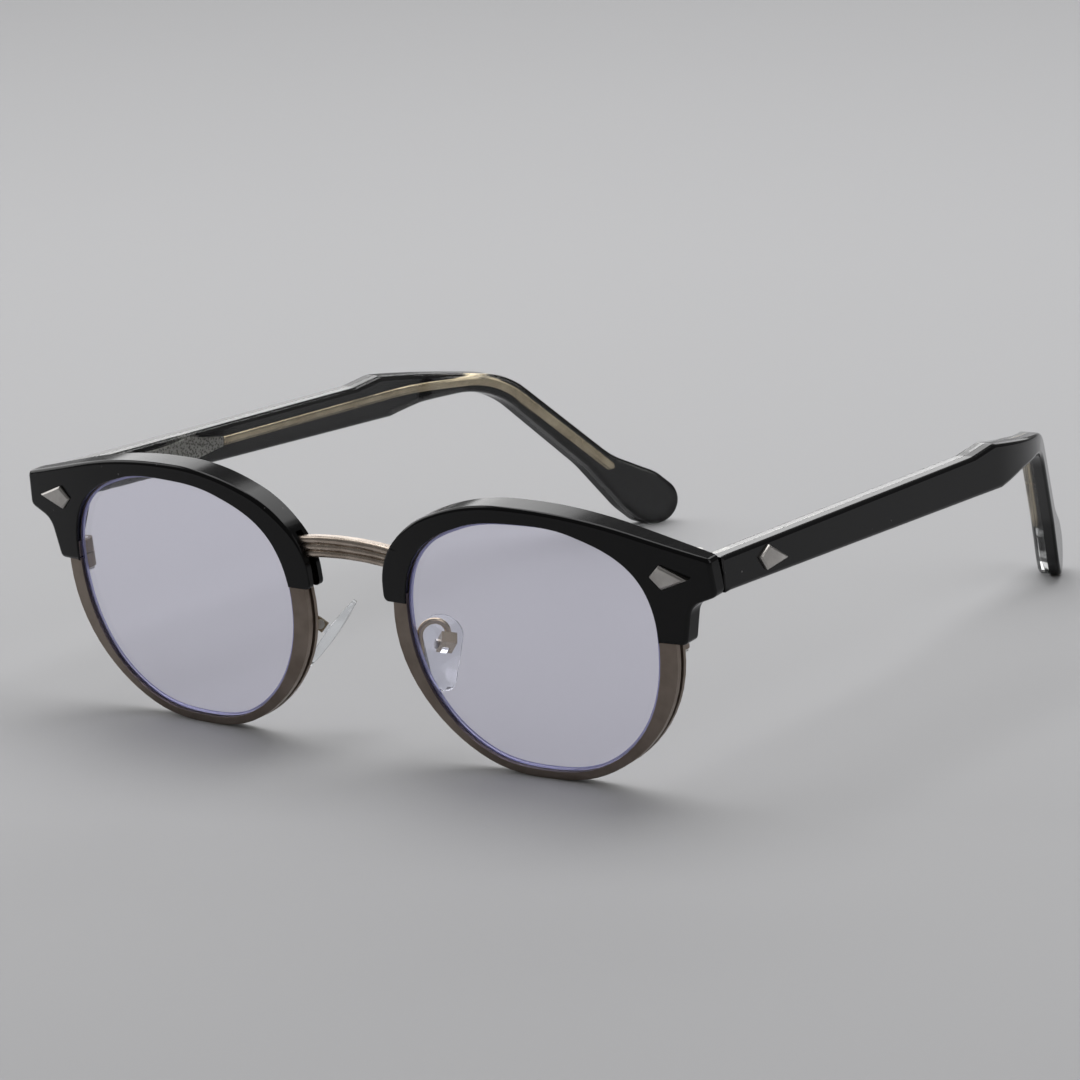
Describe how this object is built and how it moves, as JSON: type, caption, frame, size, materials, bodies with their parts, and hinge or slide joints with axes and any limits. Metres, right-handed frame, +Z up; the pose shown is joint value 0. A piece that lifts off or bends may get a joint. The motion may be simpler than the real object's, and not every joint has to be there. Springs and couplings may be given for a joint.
{
  "type": "browline glasses",
  "caption": "Browline glasses with metal eyewires under acetate brows, laminated temples on barrel hinges, rivet studs, an arched bridge and rocking nose pads.",
  "frame": {"origin": "centre of the object's bounding box, on the surface it stands on", "axes": "+Z up, the front faces -Y, +X is the wearer's left"},
  "size_m": [0.138, 0.1316, 0.0432],
  "materials": {
    "black_acetate": "polished acetate",
    "clear_acetate": "polished clear acetate",
    "bronze_metal": "satin bronze plating",
    "bronze_bridge": "satin bronze plating",
    "pale_gold": "polished pale gold plating",
    "silver": "bright bevelled faces",
    "steel": "satin",
    "lens": "polished, coated",
    "clear_pad": "polished clear plastic"
  },
  "bodies": {
    "front": {"bridge": "bronze_bridge", "eyewire_left": "bronze_metal", "eyewire_right": "bronze_metal", "lens_left": "lens", "lens_right": "lens", "closing_block_upper_left": "bronze_metal", "closing_block_upper_right": "bronze_metal", "closing_block_lower_left": "bronze_metal", "closing_block_lower_right": "bronze_metal", "closing_screw_left": "steel", "closing_screw_right": "steel", "brow_left": "black_acetate", "brow_right": "black_acetate", "front_stud_left": "silver", "front_stud_right": "silver", "hinge_leaf_left": "steel", "hinge_leaf_right": "steel", "hinge_screw_left": "steel", "hinge_screw_right": "steel", "pad_arm_left": "pale_gold", "pad_arm_right": "pale_gold", "pad_box_left": "pale_gold", "pad_box_right": "pale_gold", "pad_screw_left": "steel", "pad_screw_right": "steel"},
    "temple_left": {"temple_left": "black_acetate", "temple_lining_left": "clear_acetate", "core_wire_left": "pale_gold", "temple_leaf_left": "steel", "temple_stud_left": "silver"},
    "temple_right": {"temple_right": "black_acetate", "temple_lining_right": "clear_acetate", "core_wire_right": "pale_gold", "temple_leaf_right": "steel", "temple_stud_right": "silver"},
    "nose_pad_left": {"nose_pad_left": "clear_pad"},
    "nose_pad_right": {"nose_pad_right": "clear_pad"}
  },
  "joints": [
    {"name": "temple_left_fold", "type": "hinge", "parent": "front", "child": "temple_left", "pos_m": [0.06303, -0.05718, 0.03478], "axis": [0, -0.0663, 0.9978], "range_deg": [0, 66]},
    {"name": "temple_right_fold", "type": "hinge", "parent": "front", "child": "temple_right", "pos_m": [-0.06303, -0.05718, 0.03478], "axis": [0, 0.0663, -0.9978], "range_deg": [0, 80]},
    {"name": "nose_pad_left_rock", "type": "hinge", "parent": "front", "child": "nose_pad_left", "pos_m": [0.01303, -0.05666, 0.01722], "axis": [0.6147, 0.7503, -0.2432], "range_deg": [-12, 12]},
    {"name": "nose_pad_right_rock", "type": "hinge", "parent": "front", "child": "nose_pad_right", "pos_m": [-0.01303, -0.05666, 0.01722], "axis": [0.6147, -0.7503, 0.2432], "range_deg": [-12, 12]}
  ]
}
